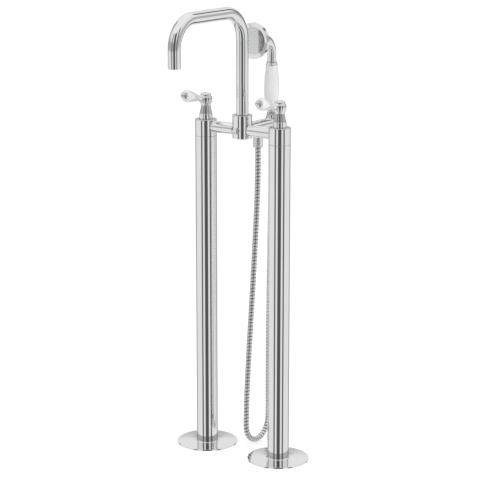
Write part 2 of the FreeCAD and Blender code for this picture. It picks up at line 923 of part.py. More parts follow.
def handset_ferrule():
    edge_low = handle_bottom - ferrule_edge
    body = turned(
        (water_tube_radius, cone_top),
        (ferrule_foot_radius, cone_top),
        ((ferrule_curve_radius, (cone_top + edge_low) / 2), (ferrule_radius, edge_low)),
        (ferrule_radius, handle_bottom),
        (water_tube_radius, handle_bottom),
    )
    return placed(body, Vector(0, handset_reach, 0))


def handset_handle():
    side = grip_outline(
        handle_bottom, handle_top, handle_base_radius, handle_belly_radius, handle_top_radius,
        handle_belly_share,
    )
    body = turned((handle_bore, handle_bottom), *side, (handle_bore, handle_top))
    return placed(body, Vector(0, handset_reach, 0))


def water_tube():
    inner = water_tube_radius - water_tube_wall
    body = ring(inner, water_tube_radius, cone_top, handle_top + handset_collar_height / 2)
    return placed(body, Vector(0, handset_reach, 0))


def handset_collar():
    top = handle_top + handset_collar_height
    seat = handle_top + handset_collar_height / 2
    rim_top = handle_top + handset_collar_rim
    body = turned(
        (water_tube_radius, handle_top),
        (handset_collar_radius, handle_top),
        (handset_collar_radius, rim_top),
        ((handset_collar_waist, (rim_top + top) / 2), (handset_collar_end, top)),
        (neck_radius - neck_wall, top),
        (neck_radius - neck_wall, seat),
        (water_tube_radius, seat),
    )
    return placed(body, Vector(0, handset_reach, 0))


def handset_neck():
    start = Vector(0, handset_reach, handle_top + handset_collar_height)
    corner = Vector(0, handset_reach, rose_height)
    end = Vector(0, rose_face + rose_depth, rose_height)
    path = rounded_path([start, corner, end], [neck_bend])
    return swept(neck_radius, path).cut(swept(neck_radius - neck_wall, path))


def handset_rose():
    # Turned with its face up, then laid over so that the face looks to the front. The front is a
    # shallow dish with the plate at its bottom, and the water's chamber is behind the plate.
    back = -rose_depth
    neck_bore = neck_radius - neck_wall
    plate_seat = -rose_dish - rose_plate_thickness
    chamber_radius = rose_plate_radius - rose_lip
    chamber_back = back + rose_dome_rise + rose_wall
    body = turned(
        (neck_bore, back),
        (rose_foot_radius, back),
        ((rose_dome_radius, back + rose_dome_rise), (rose_radius, -rose_rim)),
        (rose_radius, -rose_edge),
        (rose_radius - rose_edge, 0),
        (rose_plate_radius, -rose_dish),
        (rose_plate_radius, plate_seat),
        (chamber_radius, plate_seat),
        (chamber_radius, chamber_back),
        (neck_bore, back + rose_wall),
    )
    return placed(body, Vector(0, rose_face, rose_height), FRONT)


def rose_plate():
    low = -rose_dish - rose_plate_thickness
    body = rod(rose_plate_radius - slip_gap, low, low + rose_plate_thickness)
    for circle, count in rose_rings:
        for step in range(count):
            turn = 2 * math.pi * step / count
            centre = (circle * math.cos(turn), circle * math.sin(turn))
            body = body.cut(rod(rose_hole_radius, low, low + rose_plate_thickness, centre))
    return placed(body, Vector(0, rose_face, rose_height), FRONT)


# Hose

def hose_path():
    corners = [hose_start, hose_start - UP * hose_drop_run]
    corners += [Vector(0, back, height) for back, height in hose_route]
    corners += [hose_end - UP * hose_climb_run, hose_end]
    radii = []
    for before, corner, after in zip(corners, corners[1:], corners[2:]):
        shorter = min((corner - before).Length, (after - corner).Length)
        half_turn = (corner - before).getAngle(after - corner) / 2
        radii.append(bend_share * shorter / math.tan(half_turn))
    print("hose radii in diameters:", [round(radius / hose_diameter, 1) for radius in radii])
    return rounded_path(corners, radii)


def hose_circle(path, distance, radius):
    # Circle square to the path, its own X axis always across the object.
    for edge in path.OrderedEdges:
        if distance <= edge.Length:
            break
        distance -= edge.Length
    at = edge.getParameterByLength(min(distance, edge.Length))
    circle = Part.Circle()
    circle.Center = edge.valueAt(at)
    circle.Axis = edge.tangentAt(at)
    circle.XAxis = RIGHT
    circle.Radius = radius
    return Part.Wire([circle.toShape()])


def shower_hose():
    path = hose_path()
    crest = hose_diameter / 2
    valley = crest - rib_depth
    plain = hose_diameter
    pitch = (path.Length - 2 * plain) / rib_count
    rib = ((0, crest), (rib_crest, crest), (rib_valley_start, valley), (rib_valley_end, valley))
    circles = [hose_circle(path, 0, crest)]
    for count in range(rib_count):
        start = plain + count * pitch
        for share, radius in rib:
            circles.append(hose_circle(path, start + share * pitch, radius))
    circles.append(hose_circle(path, path.Length - plain, crest))
    circles.append(hose_circle(path, path.Length, crest))
    body = Part.makeLoft(circles, True, True).cut(swept(hose_bore / 2, path))
    crest_area = math.pi * (crest ** 2 - (hose_bore / 2) ** 2)
    valley_area = math.pi * (valley ** 2 - (hose_bore / 2) ** 2)
    thin_share = (rib_valley_end - rib_valley_start + 1 - rib_crest) / 2
    mean_area = crest_area * (1 - thin_share) + valley_area * thin_share
    print("hose length", round(path.Length, 1), "volume over section times length",
          round(body.Volume / (mean_area * path.Length), 3))
    return body


# Build

os.makedirs("parts", exist_ok=True)

for name, side in sides:
    inward = RIGHT * -side
    save(name + "_foot", at_leg(foot(), side))
    save(name + "_inlet", at_leg(inlet(), side))
    save(name + "_flange", at_leg(flange(), side))
    save(name + "_leg", at_leg(leg(), side))
    save(name + "_riser", at_leg(riser(), side))
    save(name + "_valve", at_leg(valve_body(inward), side))
    save(name + "_cartridge", at_leg(cartridge(), side))
    save(name + "_bonnet", at_leg(bonnet(), side))
    save(name + "_spindle", at_leg(spindle(), side))
    save(name + "_lever_hub", at_leg(lever_hub(), side))
    save(name + "_lever_screw", at_leg(lever_screw(), side))
    save(name + "_index_cap", at_leg(index_cap(), side))
    save(name + "_lever_collar", at_leg(lever_collar(), side))
    save(name + "_lever_grip", at_leg(lever_grip(), side))
    save(name + "_lever_rod", at_leg(lever_rod(), side))
    save(name + "_lever_end", at_leg(lever_end(), side))
    save(name + "_bridge", tube_along(-inward, hub_tube_seat, bridge_far, bridge_grooves))

save("leg_seals", *[at_leg(seal, side) for _, side in sides for seal in (leg_seal(), union_washer())])
save("union_nuts", *[at_leg(union_nut(), side) for _, side in sides])
save("fixed_discs", *[at_leg(fixed_disc(), side) for _, side in sides])
save("grub_screws", spout_grub(), *[at_leg(leg_grub(), side) for _, side in sides])
save("bridge_seals", tube_seal(BACK, arm_grooves[0]),
     *[tube_seal(direction, low) for direction in (RIGHT, -RIGHT) for low in bridge_grooves])
save("hub", hub())
save("diverter_gland", diverter_gland())
save("diverter_knob", diverter_knob())
save("diverter_stem", diverter_stem())
save("rear_arm", rear_arm())
save("cradle", cradle())
save("hose_outlet", hose_outlet())
save("check_valve", check_valve())
save("hose_nut", hose_nut())
save("spout", spout())
save("spout_seals", spout_seal(centre_hub_top - spigot_length + seal_inset),
     spout_seal(centre_hub_top - seal_inset - seal_width))
save("aerator", aerator())
save("hose_cone", hose_cone())
save("handset_ferrule", handset_ferrule())
save("handset_handle", handset_handle())
save("water_tube", water_tube())
save("handset_collar", handset_collar())
save("handset_neck", handset_neck())
save("handset_rose", handset_rose())
save("rose_plate", rose_plate())
save("shower_hose", shower_hose())
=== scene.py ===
import bpy
import numpy as np
import math
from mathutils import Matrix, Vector


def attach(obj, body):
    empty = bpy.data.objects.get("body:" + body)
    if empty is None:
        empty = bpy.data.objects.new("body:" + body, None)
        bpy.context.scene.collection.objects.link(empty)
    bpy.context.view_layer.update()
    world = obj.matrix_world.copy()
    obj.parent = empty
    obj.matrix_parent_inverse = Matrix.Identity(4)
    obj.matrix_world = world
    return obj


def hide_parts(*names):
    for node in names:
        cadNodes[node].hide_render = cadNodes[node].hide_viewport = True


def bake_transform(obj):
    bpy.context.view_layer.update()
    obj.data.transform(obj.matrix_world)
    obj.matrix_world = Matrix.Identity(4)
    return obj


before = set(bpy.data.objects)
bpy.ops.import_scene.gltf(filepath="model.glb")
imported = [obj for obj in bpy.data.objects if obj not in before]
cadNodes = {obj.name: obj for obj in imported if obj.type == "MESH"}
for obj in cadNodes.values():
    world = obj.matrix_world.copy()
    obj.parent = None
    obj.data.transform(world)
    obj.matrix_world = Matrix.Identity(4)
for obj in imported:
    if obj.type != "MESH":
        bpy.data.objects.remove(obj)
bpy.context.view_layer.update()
mm = 0.001
sharpAngle = 35  # degrees, past which an edge of a cut piece stays sharp
print("frame loaded:", len(cadNodes), "nodes")

# Camera, at the photograph's place and angle
cameraView = {"place": (2.275, -3.213, 1.453), "turn": 35.31, "tilt": 13.49, "lens": 129.93}


def makeCamera():
    data = bpy.data.cameras.new("photoCamera")
    data.lens = cameraView["lens"]
    data.sensor_width = 36
    camera = bpy.data.objects.new("photoCamera", data)
    camera.location = cameraView["place"]
    camera.rotation_euler = (
        math.radians(90 - cameraView["tilt"]), 0, math.radians(cameraView["turn"]))
    bpy.context.scene.collection.objects.link(camera)
    bpy.context.scene.camera = camera


makeCamera()
bpy.context.scene.view_settings.view_transform = "Standard"
print("camera set")


# Materials. Each has its own small variation in gloss, colour or surface.

def newMaterial(name, colour, metallic, roughness):
    material = bpy.data.materials.new(name)
    material.use_nodes = True
    shader = material.node_tree.nodes["Principled BSDF"]
    shader.inputs["Base Color"].default_value = (*colour, 1)
    shader.inputs["Metallic"].default_value = metallic
    shader.inputs["Roughness"].default_value = roughness
    return material, material.node_tree, shader


def noiseOn(tree, scale, detail, stretch=(1, 1, 1)):
    place = tree.nodes.new("ShaderNodeTexCoord")
    mapping = tree.nodes.new("ShaderNodeMapping")
    mapping.inputs["Scale"].default_value = stretch
    noise = tree.nodes.new("ShaderNodeTexNoise")
    noise.inputs["Scale"].default_value = scale
    noise.inputs["Detail"].default_value = detail
    tree.links.new(place.outputs["Object"], mapping.inputs["Vector"])
    tree.links.new(mapping.outputs["Vector"], noise.inputs["Vector"])
    return noise.outputs["Fac"]


def spread(tree, source, low, high, target):
    # the noise's middle half is stretched over the range from low to high
    reach = tree.nodes.new("ShaderNodeMapRange")
    reach.inputs["From Min"].default_value = 0.3
    reach.inputs["From Max"].default_value = 0.7
    reach.inputs["To Min"].default_value = low
    reach.inputs["To Max"].default_value = high
    tree.links.new(source, reach.inputs["Value"])
    tree.links.new(reach.outputs["Result"], target)


def twoTones(tree, source, first, second, target):
    ramp = tree.nodes.new("ShaderNodeValToRGB")
    ramp.color_ramp.elements[0].position = 0.35
    ramp.color_ramp.elements[1].position = 0.65
    ramp.color_ramp.elements[0].color = (*first, 1)
    ramp.color_ramp.elements[1].color = (*second, 1)
    tree.links.new(source, ramp.inputs["Fac"])
    tree.links.new(ramp.outputs["Color"], target)


def bumpFrom(tree, source, strength, distance, shader):
    bump = tree.nodes.new("ShaderNodeBump")
    bump.inputs["Strength"].default_value = strength
    bump.inputs["Distance"].default_value = distance
    tree.links.new(source, bump.inputs["Height"])
    tree.links.new(bump.outputs["Normal"], shader.inputs["Normal"])


# Noise scales are per metre, and "relief" is a bump's strength and its height in metres.
chrome = {"colour": (0.81, 0.81, 0.815), "roughness": 0.05, "gloss": (0.03, 0.06),
          "glossScale": 28, "waveScale": 9, "relief": (0.05, 0.0004)}
porcelain = {"colour": (0.86, 0.86, 0.855), "roughness": 0.12,
             "tones": ((0.85, 0.85, 0.845), (0.87, 0.87, 0.865)), "toneScale": 35,
             "glaze": 1.0, "glazeRoughness": 0.04, "glazeIndex": 1.6,
             "depth": 0.08, "depthReach": 0.0035, "waveScale": 120, "relief": (0.04, 0.0003)}
brushed = {"scale": 260, "spread": (0.7, 1.4), "relief": (0.2, 0.0002)}
# the strip's dark groove colour is painted shade, standing for the shade in the grooves between
# its turns
wound = {"colour": (0.86, 0.87, 0.88), "grooveShade": (0.09, 0.09, 0.1), "roughness": 0.07,
         "gloss": (0.05, 0.1), "glossScale": 260}
moulded = {"grainScale": 400, "toneScale": 60, "spread": (0.8, 1.2), "relief": (0.15, 0.0002)}


def polishedChrome():
    c = chrome
    material, tree, shader = newMaterial("polishedChrome", c["colour"], 1, c["roughness"])
    spread(tree, noiseOn(tree, c["glossScale"], 4), *c["gloss"], shader.inputs["Roughness"])
    bumpFrom(tree, noiseOn(tree, c["waveScale"], 2), *c["relief"], shader)
    return material


def glazedPorcelain():
    p = porcelain
    material, tree, shader = newMaterial("glazedPorcelain", p["colour"], 0, p["roughness"])
    twoTones(tree, noiseOn(tree, p["toneScale"], 3), *p["tones"], shader.inputs["Base Color"])
    shader.inputs["Coat Weight"].default_value = p["glaze"]
    shader.inputs["Coat Roughness"].default_value = p["glazeRoughness"]
    shader.inputs["Coat IOR"].default_value = p["glazeIndex"]
    shader.inputs["Subsurface Weight"].default_value = p["depth"]
    shader.inputs["Subsurface Radius"].default_value = (p["depthReach"],) * 3
    bumpFrom(tree, noiseOn(tree, p["waveScale"], 2), *p["relief"], shader)
    return material


def brushedMetal(name, colour, roughness, stretch):
    material, tree, shader = newMaterial(name, colour, 1, roughness)
    marks = noiseOn(tree, brushed["scale"], 5, stretch)
    low, high = brushed["spread"]
    spread(tree, marks, roughness * low, roughness * high, shader.inputs["Roughness"])
    bumpFrom(tree, marks, *brushed["relief"], shader)
    return material


def woundStrip():
    # polished strip, with painted shade darkening the grooves between its turns
    w = wound
    material, tree, shader = newMaterial("woundStrip", w["colour"], 1, w["roughness"])
    spread(tree, noiseOn(tree, w["glossScale"], 5), *w["gloss"], shader.inputs["Roughness"])
    groove = tree.nodes.new("ShaderNodeAttribute")
    groove.attribute_name = "groove"
    # painted shade: the base colour turns dark where the groove is deep
    twoTones(tree, groove.outputs["Fac"], w["colour"], w["grooveShade"],
             shader.inputs["Base Color"])
    return material


def mouldedPlastic(name, first, second, roughness):
    m = moulded
    material, tree, shader = newMaterial(name, first, 0, roughness)
    grain = noiseOn(tree, m["grainScale"], 3)
    twoTones(tree, noiseOn(tree, m["toneScale"], 2), first, second, shader.inputs["Base Color"])
    low, high = m["spread"]
    spread(tree, grain, roughness * low, roughness * high, shader.inputs["Roughness"])
    bumpFrom(tree, grain, *m["relief"], shader)
    return material


finishes = {
    "chrome": polishedChrome(),
    "brass": brushedMetal("machinedBrass", (0.72, 0.53, 0.24), 0.25, (1, 1, 12)),
    "copper": brushedMetal("drawnCopper", (0.76, 0.42, 0.28), 0.3, (1, 1, 0.05)),
    "steel": brushedMetal("zincPlatedSteel", (0.60, 0.61, 0.63), 0.3, (1, 1, 8)),
    "porcelain": glazedPorcelain(),
    "ceramic": mouldedPlastic("lappedCeramic", (0.86, 0.84, 0.79), (0.90, 0.88, 0.84), 0.2),
    "rubber": mouldedPlastic("mouldedRubber", (0.03, 0.03, 0.03), (0.045, 0.045, 0.045), 0.6),
    "grey_plastic": mouldedPlastic("greyPlastic", (0.50, 0.52, 0.55), (0.56, 0.58, 0.6), 0.4),
    "aerator": mouldedPlastic("aeratorPlastic", (0.70, 0.71, 0.72), (0.76, 0.77, 0.78), 0.35),
    "rose_plate": brushedMetal("roseFacePlate", (0.74, 0.75, 0.76), 0.08, (1, 1, 1)),
    "hose_steel": woundStrip(),
}
print("finishes made:", len(finishes))


# Shapes. Every profile is a list of (along, radius, rounding) corners in millimetres.
upward, backward, frontward = (0, 0, 1), (0, 1, 0), (0, -1, 0)


def rounded(corners, steps=7):
    # Each corner is cut back by its rounding, at most to the middle of each side, and
    # replaced by the quadratic curve from one cut to the other. A flat side gets a point
    # 1.3 cuts and 0.05 mm from each corner, so that it shades flat:
    # point = (1 - t)^2 * start + 2 * t * (1 - t) * corner + t^2 * end
    corner = np.array([c[:2] for c in corners], float)
    cut = np.array([c[2] for c in corners], float)[:, None]
    before = np.vstack([corner[:1], corner[:-1]]) - corner
    after = np.vstack([corner[1:], corner[-1:]]) - corner
    sizes = [np.maximum(np.linalg.norm(side, axis=1, keepdims=True), 1e-9)
             for side in (before, after)]
    shares = [np.minimum(cut / size, 0.5) for size in sizes]
    held = [np.minimum((1.3 * cut + 0.05) / size, 0.5) for size in sizes]
    step = np.linspace(0, 1, steps)[None, :, None]
    start = (corner + before * shares[0])[:, None]
    end = (corner + after * shares[1])[:, None]
    middle = corner[:, None]
    curve = (1 - step) ** 2 * start + 2 * step * (1 - step) * middle + step ** 2 * end
    rows = np.concatenate([
        (corner + before * held[0])[:, None], curve, (corner + after * held[1])[:, None]], 1)
    rows = rows.reshape(-1, 2)
    gaps = np.linalg.norm(np.diff(rows, axis=0), axis=1)
    return rows[np.concatenate([[True], gaps > 1e-5])]


def filledIn(profile, step):
    # extra rows so that none is further than step from the next
    gaps = np.maximum(np.ceil(np.linalg.norm(np.diff(profile, axis=0), axis=1) / step), 1)
    place = np.concatenate([[0], np.cumsum(gaps)])
    wanted = np.arange(int(place[-1]) + 1)
    return np.stack([np.interp(wanted, place, profile[:, k]) for k in (0, 1)], 1)


def straightLine(start, direction):
    # distance along a straight axis gives its point and its two cross directions
    forward = np.array(direction, float) / np.linalg.norm(direction)
    side = np.cross(forward, (0, 1, 0) if abs(forward[1]) < 0.7 else (1, 0, 0))
    side /= np.linalg.norm(side)
    up = np.cross(side, forward)

    def at(distance):
        ones = np.ones((len(distance), 1))
        return np.array(start) + distance[:, None] * forward, ones * side, ones * up
    return at


def tracedLine(points, side):
    # distance along a run of points in one plane; the side direction stays square to it
    run = np.concatenate([[0], np.cumsum(np.linalg.norm(np.diff(points, axis=0), axis=1))])
    slope = np.gradient(points, run, axis=0)

    def at(distance):
        inside = np.clip(distance, 0, run[-1])
        place = np.stack([np.interp(inside, run, points[:, k]) for k in range(3)], 1)
        forward = np.stack([np.interp(inside, run, slope[:, k]) for k in range(3)], 1)
        forward /= np.linalg.norm(forward, axis=1, keepdims=True)
        sides = np.ones((len(distance), 1)) * np.array(side, float)
        place = place + (distance - inside)[:, None] * forward
        return place, sides, np.cross(sides, forward)
    return at, run[-1]


def bentPoints(corners, bends, step=0.5):
    # straight runs joined by circular bends, as closely spaced points
    corners = [np.array(c, float) for c in corners]
    points = [corners[0][None]]
    for before, corner, after, bend in zip(corners, corners[1:], corners[2:], bends):
        arriving = (corner - before) / np.linalg.norm(corner - before)
        leaving = (after - corner) / np.linalg.norm(after - corner)
        turn = math.acos(np.clip(arriving @ leaving, -1, 1))
        back = bend * math.tan(turn / 2)
        inward = leaving - arriving
        centre = corner + inward / np.linalg.norm(inward) * bend / math.cos(turn / 2)
        first = corner - arriving * back - centre
        angle = np.linspace(0, turn, max(int(bend * turn / step), 8))[:, None]
        points.append(centre + first * np.cos(angle) + arriving * bend * np.sin(angle))
    points.append(corners[-1][None])
    rough = np.vstack(points)
    run = np.concatenate([[0], np.cumsum(np.linalg.norm(np.diff(rough, axis=0), axis=1))])
    even = np.linspace(0, run[-1], int(run[-1] / step) + 1)
    return np.stack([np.interp(even, run, rough[:, k]) for k in range(3)], 1)


def gridFaces(rows, turns, joined):
    row = np.arange(rows if joined else rows - 1)[:, None]
    turn = np.arange(turns)[None, :]
    nextRow, nextTurn = (row + 1) % rows, (turn + 1) % turns
    corners = [row * turns + turn, row * turns + nextTurn,
               nextRow * turns + nextTurn, nextRow * turns + turn]
    return np.stack(np.broadcast_arrays(*corners), -1).reshape(-1, 4).tolist()


def carried(profile, line, turns=96, joined=False, radiusAt=None):
    # A profile carried along a line and round it:
    # point = line(along) + radius * (cos(turn) * side + sin(turn) * up)
    # A profile that isn't joined end to end starts and ends on the line, at a pole.
    place, side, up = line(profile[:, 0])
    turn = np.linspace(0, 2 * math.pi, turns, endpoint=False)[None, :, None]
    radius = profile[:, 1][:, None, None] * np.ones_like(turn)
    if radiusAt is not None:
        radius = radiusAt(profile[:, 0][:, None, None], turn, radius)
    across = np.cos(turn) * side[:, None] + np.sin(turn) * up[:, None]
    grid = place[:, None] + radius * across
    if joined:
        points, faces = grid.reshape(-1, 3), gridFaces(len(grid), turns, True)
    else:
        body = grid[1:-1]
        points = np.vstack([body.reshape(-1, 3), place[:1], place[-1:]])
        faces = gridFaces(len(body), turns, False)
        here = np.arange(turns)
        after = (here + 1) % turns
        first = np.full(turns, len(points) - 2)
        last = first + 1
        base = (len(body) - 1) * turns
        faces += np.stack([first, after, here], 1).tolist()
        faces += np.stack([last, base + here, base + after], 1).tolist()
    return points, faces


def rod(low, high, radius, line, turns):
    # a plain round bar from low to high along a line, to cut a hole with
    profile = np.array([(low, 0), (low, radius), (high, radius), (high, 0)], float)
    return carried(profile, line, turns)


def signedVolume(points, faces):
    # six times the volume inside, negative where the faces point inwards: the sum over the
    # triangles of a . (b x c)
    three = np.array([f[:3] for f in faces])
    a, b, c = (points[three[:, k]] for k in range(3))
    total = np.einsum("ij,ij->i", a, np.cross(b, c)).sum()
    four = np.array([(f[0], f[2], f[3]) for f in faces if len(f) == 4])
    if len(four):
        a, b, c = (points[four[:, k]] for k in range(3))
        total += np.einsum("ij,ij->i", a, np.cross(b, c)).sum()
    return total


def merged(shells):
    points, faces = [], []
    for shellPoints, shellFaces in shells:
        if signedVolume(shellPoints, shellFaces) < 0:
            shellFaces = [tuple(reversed(f)) for f in shellFaces]
        start = sum(len(p) for p in points)
        points.append(shellPoints)
        faces += [tuple(start + k for k in f) for f in shellFaces]
    return np.vstack(points), faces


def makePiece(name, shells, slot, body, *stoodFor):
    # the shells come in millimetres and face outwards; the piece is in metres
    points, faces = merged(shells)
    mesh = bpy.data.meshes.new(name)
    mesh.from_pydata((points * mm).tolist(), [], faces)
    mesh.polygons.foreach_set("use_smooth", [True] * len(mesh.polygons))
    mesh.materials.append(finishes[slot])
    mesh.update()
    piece = bpy.data.objects.new(name, mesh)
    bpy.context.scene.collection.objects.link(piece)
    if body:
        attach(piece, body)
    if stoodFor:
        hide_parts(*stoodFor)
    return piece


def cutAway(piece, shells):
    # takes the shells' space out of the piece
    points, faces = merged(shells)
    mesh = bpy.data.meshes.new("cutter")
    mesh.from_pydata((points * mm).tolist(), [], faces)
    cutter = bpy.data.objects.new("cutter", mesh)
    bpy.context.scene.collection.objects.link(cutter)
    modifier = piece.modifiers.new("cut", "BOOLEAN")
    modifier.operation = "DIFFERENCE"
    modifier.solver = "EXACT"
    modifier.object = cutter
    bpy.context.view_layer.update()
    evaluated = piece.evaluated_get(bpy.context.evaluated_depsgraph_get())
    finished = bpy.data.meshes.new_from_object(evaluated)
    piece.modifiers.clear()
    piece.data = finished
    finished.polygons.foreach_set("use_smooth", [True] * len(finished.polygons))
    finished.set_sharp_from_angle(angle=math.radians(sharpAngle))
    bpy.data.objects.remove(cutter)


# Hose. The route's points are those of the solid, from the outlet to the hand shower.
hose = {
    "route": [
        (0, 0.063, 0.7215), (0, 0.063, 0.6405), (0, 0.054, 0.520), (0, 0.042, 0.385),
        (0, 0.0275, 0.240), (0, 0.0188, 0.135), (0, 0.0164, 0.082), (0, 0.016, 0.0401),
        (0, 0.0335, 0.0159), (0, 0.062, 0.0066), (0, 0.0905, 0.0159), (0, 0.108, 0.0401),
        (0, 0.109, 0.084), (0, 0.1082, 0.150), (0, 0.109, 0.270), (0, 0.1125, 0.430),
        (0, 0.1165, 0.590), (0, 0.118, 0.705), (0, 0.118, 0.792),
    ],
    "length": 1.5506, "diameter": 0.014,  # metres, as in the route
    "pitch": 8.3, "depth": 1.5, "bulge": 0.75, "turns": 12, "smoothness": 24,
}


def hoseLine():
    curve = bpy.data.curves.new("hoseRoute", "CURVE")
    curve.dimensions = "3D"
    curve.resolution_u = hose["smoothness"]
    spline = curve.splines.new("NURBS")
    spline.points.add(len(hose["route"]) - 1)
    spline.points.foreach_set("co", [v for p in hose["route"] for v in (*p, 1)])
    spline.order_u = 3
    spline.use_endpoint_u = True
    spline.resolution_u = hose["smoothness"]
    holder = bpy.data.objects.new("hoseRoute", curve)
    bpy.context.scene.collection.objects.link(holder)
    bpy.context.view_layer.update()
    line = bpy.data.meshes.new_from_object(holder)
    points = np.zeros(len(line.vertices) * 3)
    line.vertices.foreach_get("co", points)
    bpy.data.objects.remove(holder)
    bpy.data.meshes.remove(line)
    return points.reshape(-1, 3)


def makeHose():
    # The strip bulges between the grooves where its turns meet, and winds round the hose once
    # for each pitch:
    # groove = 1 - |sin(pi * (distance / pitch + turn / full turn))| to the power of the bulge
    # radius = outer radius - depth * groove
    points = hoseLine()
    line, length = tracedLine(points / mm, (1, 0, 0))
    pitch = length / round(length / hose["pitch"])
    along = np.linspace(0, length, round(length / pitch) * hose["turns"] + 1)
    outer = hose["diameter"] / mm / 2
    profile = np.stack([along, np.full(len(along), outer)], 1)
    profile = np.vstack([[(0, 0)], profile, [(length, 0)]])

    def groove(distance, turn):
        wave = np.abs(np.sin(math.pi * distance / pitch + turn / 2))
        return 1 - wave ** hose["bulge"]

    def ribbed(distance, turn, radius):
        return np.where(radius > 0, radius - hose["depth"] * groove(distance, turn), 0)

    shell = carried(profile, line, hose["turns"], False, ribbed)
    piece = makePiece("ribbedHose", [shell], "hose_steel", None, "shower_hose")
    turn = np.linspace(0, 2 * math.pi, hose["turns"], endpoint=False)
    # each point's groove depth, which the strip's material uses to paint shade into the grooves
    depth = np.append(groove(along[:, None], turn[None, :]).ravel(), (0, 0))
    piece.data.attributes.new("groove", "FLOAT", "POINT").data.foreach_set("value", depth)
    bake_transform(piece)
    return piece, points


hosePiece, hosePoints = makeHose()
print("hose made")

# Set screws, each with its six-sided socket, and the round holes that they sit in
setScrew = {
    "radius": 2.5, "socket": 1.3, "socketEase": 0.15, "recess": 0.5,
    "holeDepth": 6.0, "holeOver": 2.0,
    "profile": [(-4.2, 0, 0), (-4.2, 2.4, 0.3), (0, 2.4, 0.5), (0, 1.3, 0.1), (-1.8, 1.3, 0.1),
                (-2.2, 0, 0)],
}


def screwHole(middle, face):
    # goes straight back through a wall whose outer face is at that distance
    s = setScrew
    return rod(face - s["holeDepth"], face + s["holeOver"], s["radius"],
               straightLine(middle, backward), 32)


def screwEnd(middle, face):
    # socket = flat radius / cos(turn within its sixth - half a sixth); the rest stays round
    widest = setScrew["socket"] + setScrew["socketEase"]

    def sixSided(distance, turn, radius):
        side = np.cos(np.mod(turn, math.pi / 3) - math.pi / 6)
        return np.where(radius < widest, radius / side, radius)

    profile = rounded(setScrew["profile"], 5)
    profile[:, 0] += face - setScrew["recess"]
    return carried(profile, straightLine(middle, backward), 48, False, sixSided)


# Legs, flanges and valves, one of each on both sides
sides = (("left", -103.0), ("right", 103.0))
leg = {"radius": 25.5, "wall": 1.5, "low": 2.5, "seam": 749.5, "halfSeam": 0.15, "break": 0.4,
       "screw": 22.0, "screwFlat": 5.0}
flange = {"radius": 72.0, "rim": 3.0, "rise": 2.3, "sheet": 1.0, "edge": 0.7,
          "shoulder": 13.0, "shoulderShare": 0.55, "shoulderEase": 6.0,
          "lip": 2.6, "lipRise": 0.45, "lipFoot": 0.4, "lipFootShare": 0.85, "slip": 0.02}
valve = {"top": 788.0, "edge": 1.6, "bore": 8.0, "pocket": 12.1, "pocketFloor": 763.0}


def makeLegs(side, x):
    axis = straightLine((x, 0, 0), upward)
    r, inner, edge = leg["radius"], leg["radius"] - leg["wall"], leg["break"]
    high = leg["seam"] - leg["halfSeam"]
    tube = rounded([
        (leg["low"], inner, 0.2), (leg["low"], r, 0.2), (leg["screw"] - leg["screwFlat"], r, 0),
        (leg["screw"] + leg["screwFlat"], r, 0), (high, r, edge), (high, inner, 0.2),
        (leg["low"], inner, 0)])
    piece = makePiece(side + "LegTube", [carried(tube[:-1], axis, 128, True)], "chrome",
                      "stand", side + "_leg")
    cutAway(piece, [screwHole((x, 0, leg["screw"]), r)])
    f = flange
    top = f["rim"] + f["rise"] + f["lipRise"]
    under, bore = f["radius"] - f["sheet"], r + f["slip"]
    disc = rounded([
        (0, under, 0.2), (0, f["radius"], 0.3), (f["rim"], f["radius"], f["edge"]),
        (f["rim"] + f["rise"] * f["shoulderShare"], r + f["shoulder"], f["shoulderEase"]),
        (f["rim"] + f["rise"] * f["lipFootShare"], r + f["lip"] + f["lipFoot"], 0.3),
        (top, r + f["lip"], 0.4), (top, bore, 0.3), (top - f["sheet"], bore, 0.2),
        (f["rim"] - f["sheet"], under, 0.3), (0, under, 0)], 9)
    makePiece(side + "FloorFlange", [carried(disc[:-1], axis, 160, True)], "chrome", "stand",
              side + "_flange")
    v = valve
    low = leg["seam"] + leg["halfSeam"]
    body = rounded([
        (low, v["bore"], 0.2), (low, r, edge), (v["top"], r, v["edge"]),
        (v["top"], v["pocket"], 0.2), (v["pocketFloor"], v["pocket"], 0.2),
        (v["pocketFloor"], v["bore"], 0.2), (low, v["bore"], 0)])
    makePiece(side + "ValveBody", [carried(body[:-1], axis, 128, True)], "chrome", "stand",
              side + "_valve")


bonnet = {
    "profile": [
        (788.0, 9.1, 0.2), (788.0, 15.5, 0.3), (800.0, 15.5, 0.7), (800.5, 14.7, 0.3),
        (805.4, 13.6, 4), (811.0, 12.3, 6), (818.6, 11.0, 0.6), (818.6, 4.8, 0.2),
        (802.1, 4.8, 0.2), (802.1, 9.1, 0.2), (788.0, 9.1, 0),
    ],
}
leverHub = {
    "centre": 832.0, "tilt": 13.7, "bossRadius": 6.4, "bossStart": 2.0, "bossEnd": 16.3,
    "profile": [
        (819.1, 0, 0), (819.1, 10.4, 0.5), (822.6, 12.0, 40), (827.0, 14.4, 40),
        (832.5, 15.2, 40), (838.0, 14.7, 40), (841.5, 12.6, 0.6), (841.5, 0, 0),
    ],
}
indexCap = {
    "profile": [
        (838.5, 0, 0), (838.5, 8.0, 0.2), (841.5, 8.0, 0.2), (841.5, 10.8, 0.2),
        (842.5, 10.8, 0.3), (842.5, 12.1, 0.7), (845.4, 12.1, 1.2), (847.2, 10.6, 1.6),
        (848.3, 8.2, 2.5), (848.7, 3.0, 4), (848.7, 0, 0),
    ],
}
leverCollar = {
    "profile": [
        (16.3, 2.5, 0), (16.3, 6.4, 0.2), (17.7, 8.8, 0.8), (19.1, 8.8, 0.7), (19.9, 7.0, 0.7),
        (21.4, 6.7, 0.7), (22.5, 7.2, 0.3), (22.5, 2.5, 0),
    ],
}
